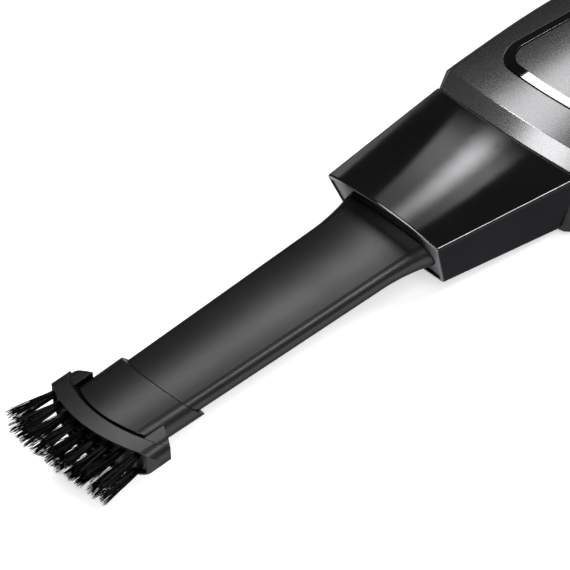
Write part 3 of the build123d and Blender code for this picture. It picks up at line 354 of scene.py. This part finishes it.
def silver_paint(name):
    # Metal flake paint: a fine grain in its colour and gloss
    material, tree, shader = new_material(name, {"Metallic": 1.0, "Specular Tint": grey(SILVER_TINT)})
    flake = noise_node(tree, FLAKE_SCALE, FLAKE_DETAIL)
    vary_colour(tree, shader, flake, grey(SILVER_DARK), grey(SILVER_LIGHT))
    vary_roughness(tree, shader, flake, *SILVER_ROUGHNESS)
    add_relief(tree, shader, flake, FLAKE_STRENGTH, SILVER_EDGE_RADIUS)
    return material


def make_materials():
    kit = {name: moulded(name, *settings) for name, settings in MOULDED.items()}
    kit["cup_black"] = cup_plastic("cup_black")
    kit["silver_coat"] = silver_paint("silver_coat")
    return kit


def dress_nodes(kit):
    slots = {part["node"]: part["material_slot"] for part in frame["record"]["subparts"]}
    for name, piece in nodes.items():
        piece.data.materials.clear()
        piece.data.materials.append(kit[slots[name]])


# Bristles

def arc_back(radius, y):
    # How far an arc falls back from its front, at a distance from the middle
    return radius - math.sqrt(radius ** 2 - y ** 2)


def add_strand(verts, faces, root, tip, bend, spin):
    # Rings of a strand, which bends most at half its length and tapers towards its tip
    start = len(verts)
    for step in range(STRAND_STEPS + 1):
        share = step / STRAND_STEPS
        middle = root.lerp(tip, share) + bend * (4 * share * (1 - share))
        size = STRAND_RADIUS * (1 - STRAND_TAPER * share ** 3)
        for side in range(STRAND_SIDES):
            angle = spin + 2 * math.pi * side / STRAND_SIDES
            verts.append(middle + Vector((0, math.cos(angle), math.sin(angle))) * size)
    for step in range(STRAND_STEPS):
        for side in range(STRAND_SIDES):
            a = start + step * STRAND_SIDES + side
            b = start + step * STRAND_SIDES + (side + 1) % STRAND_SIDES
            faces.append((a, b, b + STRAND_SIDES, a + STRAND_SIDES))
    last = start + STRAND_STEPS * STRAND_SIDES
    faces.append(tuple(range(start + STRAND_SIDES - 1, start - 1, -1)))
    faces.append(tuple(range(last, last + STRAND_SIDES)))


def add_lock(draw, verts, faces, root_y, root_z, fan):
    # Strands of one lock, which lean the same way
    lean_y = draw.gauss(0, LOCK_LEAN)
    lean_z = draw.gauss(0, LOCK_LEAN)
    for _ in range(STRANDS_PER_LOCK):
        reach = math.sqrt(draw.random())
        angle = draw.uniform(0, 2 * math.pi)
        dy = reach * math.cos(angle)
        dz = reach * math.sin(angle)
        y = root_y + TUFT_HALF_WIDTH * dy
        root_x = FLANGE_X + arc_back(FRONT_RADIUS, y) + ROOT_DEPTH
        root = Vector((root_x, y, root_z + TUFT_HALF_HEIGHT * dz))
        length = root.x - TIPS_X - arc_back(TIP_RADIUS, y) - abs(draw.gauss(0, TIP_RAGGED))
        slope_y = fan + lean_y + TIP_SPREAD * dy + draw.gauss(0, STRAND_LEAN)
        slope_z = lean_z + TIP_SPREAD * dz + draw.gauss(0, STRAND_LEAN)
        tip = root + Vector((-1, slope_y, slope_z)) * length
        bend = Vector((0, draw.gauss(0, STRAND_BEND), draw.gauss(0, STRAND_BEND)))
        add_strand(verts, faces, root, tip, bend, draw.uniform(0, math.pi))


def make_bristles(material):
    draw = random.Random(STRAND_SEED)
    low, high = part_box("brush_collar")
    centre_z = (low.z + high.z) / 2
    middle = (TUFTS_PER_ROW - 1) / 2
    verts = []
    faces = []
    for row in (1, -1):
        for index in range(TUFTS_PER_ROW):
            fan = math.tan(math.radians(FAN_ANGLE)) * (index - middle) / middle
            for _ in range(LOCKS_PER_TUFT):
                add_lock(draw, verts, faces, (index - middle) * TUFT_PITCH, centre_z + row * ROW_RISE, fan)
    mesh = bpy.data.meshes.new("bristle_tufts")
    mesh.from_pydata(verts, [], faces)
    mesh.materials.append(material)
    piece = add_object("bristle_tufts", mesh)
    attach(piece, "brush")
    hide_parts("brush_bristles")


# Stage

def seen_rays(tree, level):
    # The level for camera, glossy and transmission rays, and nothing for the light that the floor gives
    path = tree.nodes.new("ShaderNodeLightPath")
    total = path.outputs["Is Camera Ray"]
    for output in ("Is Glossy Ray", "Is Transmission Ray"):
        total = combine(tree, "MAXIMUM", total, path.outputs[output])
    return combine(tree, "MULTIPLY", total, level)


def make_floor():
    corners = [(x * FLOOR_HALF, y * FLOOR_HALF, FLOOR_Z) for x, y in ((-1, -1), (1, -1), (1, 1), (-1, 1))]
    mesh = bpy.data.meshes.new("floor")
    mesh.from_pydata(corners, [], [(0, 1, 2, 3)])
    settings = {"Roughness": FLOOR_ROUGHNESS, "Specular IOR Level": 0.0, "Emission Color": WHITE}
    material, tree, shader = new_material("floor", settings)
    patches = noise_node(tree, FLOOR_SCALE, SLOW_DETAIL)
    vary_colour(tree, shader, patches, grey(FLOOR_DARK), grey(FLOOR_LIGHT))
    tree.links.new(seen_rays(tree, FLOOR_GLOW), shader.inputs["Emission Strength"])
    mesh.materials.append(material)
    floor = add_object("floor", mesh)


def softbox(name, place, aim, along, length, width, radiance):
    # Area lamp at a place, facing a point, with its long side along a direction
    data = bpy.data.lights.new(name, "AREA")
    data.shape = "RECTANGLE"
    data.size = length
    data.size_y = width
    data.energy = UNIT_POWER * radiance * length * width
    lamp = add_object(name, data)
    back = (place - aim).normalized()
    side = (along - back * back.dot(along)).normalized()
    turn = Matrix((side, back.cross(side), back)).transposed().to_4x4()
    lamp.matrix_world = Matrix.Translation(place) @ turn
    lamp.visible_camera = False
    return lamp


def light_groups():
    # Collections of the pieces that a lamp lights alone, or leaves out
    groups = {}
    for name, (state, members) in GROUPS.items():
        group = bpy.data.collections.new(name)
        for member in members:
            group.objects.link(nodes[member])
        for row in group.collection_objects:
            row.light_linking.link_state = state
        groups[name] = group
    return groups


def sheen_pattern(tree):
    # Share of the lamp's light at a point of it
    place = tree.nodes.new("ShaderNodeNewGeometry")
    spot = split_vector(tree, place.outputs["Parametric"])
    along = map_range(tree, spot["X"], 0.0, 1.0, -SHEEN_LENGTH / 2, SHEEN_LENGTH / 2)
    across = map_range(tree, spot["Y"], 0.0, 1.0, -SHEEN_WIDTH / 2, SHEEN_WIDTH / 2)
    slanted = combine(tree, "SUBTRACT", along, combine(tree, "MULTIPLY", across, SHEEN_SHEAR))
    aside = combine(tree, "ABSOLUTE", across)
    offset = combine(tree, "ABSOLUTE", combine(tree, "SUBTRACT", across, CORE_ACROSS))
    rise = map_range(tree, slanted, SHEEN_START, SHEEN_CREST, SHEEN_START_LEVEL, 1.0, "SMOOTHSTEP")
    fall = map_range(tree, slanted, SHEEN_CREST, SHEEN_END, 1.0, 0.0, "SMOOTHSTEP")
    side = map_range(tree, aside, SHEEN_SIDE - SHEEN_SOFT, SHEEN_SIDE, 1.0, 0.0, "SMOOTHSTEP")
    core = map_range(tree, offset, 0.0, CORE_SPREAD, 1.0, SHEEN_BASE, "SMOOTHSTEP")
    share = rise
    for factor in (fall, side, core):
        share = combine(tree, "MULTIPLY", share, factor)
    return share


def make_sheen(receivers):
    # The long soft reflection on the cup's top
    lamp = softbox("sheen", SHEEN_PLACE, SHEEN_AIM, SHEEN_ALONG, SHEEN_LENGTH, SHEEN_WIDTH, SHEEN_RADIANCE)
    lamp.light_linking.receiver_collection = receivers
    lamp.data.use_nodes = True
    tree = lamp.data.node_tree
    tree.links.new(sheen_pattern(tree), tree.nodes["Emission"].inputs["Strength"])


def make_lights():
    groups = light_groups()
    along_x = Vector((1, 0, 0))
    for name, (direction, distance, length, width, radiance, group) in BOXES.items():
        place = NOSE + Vector(direction) * distance
        lamp = softbox(name, place, NOSE, along_x, length, width, radiance)
        lamp.light_linking.receiver_collection = groups.get(group)
    make_sheen(groups["cup"])


def make_world():
    world = bpy.data.worlds.new("world")
    world.use_nodes = True
    sky = world.node_tree.nodes["Background"]
    sky.inputs["Color"].default_value = WHITE
    sky.inputs["Strength"].default_value = WORLD_LEVEL
    bpy.context.scene.world = world


make_camera()
kit = make_materials()
dress_nodes(kit)
make_bristles(kit["nylon"])
make_floor()
make_lights()
make_world()
bpy.context.scene.view_settings.view_transform = "Standard"
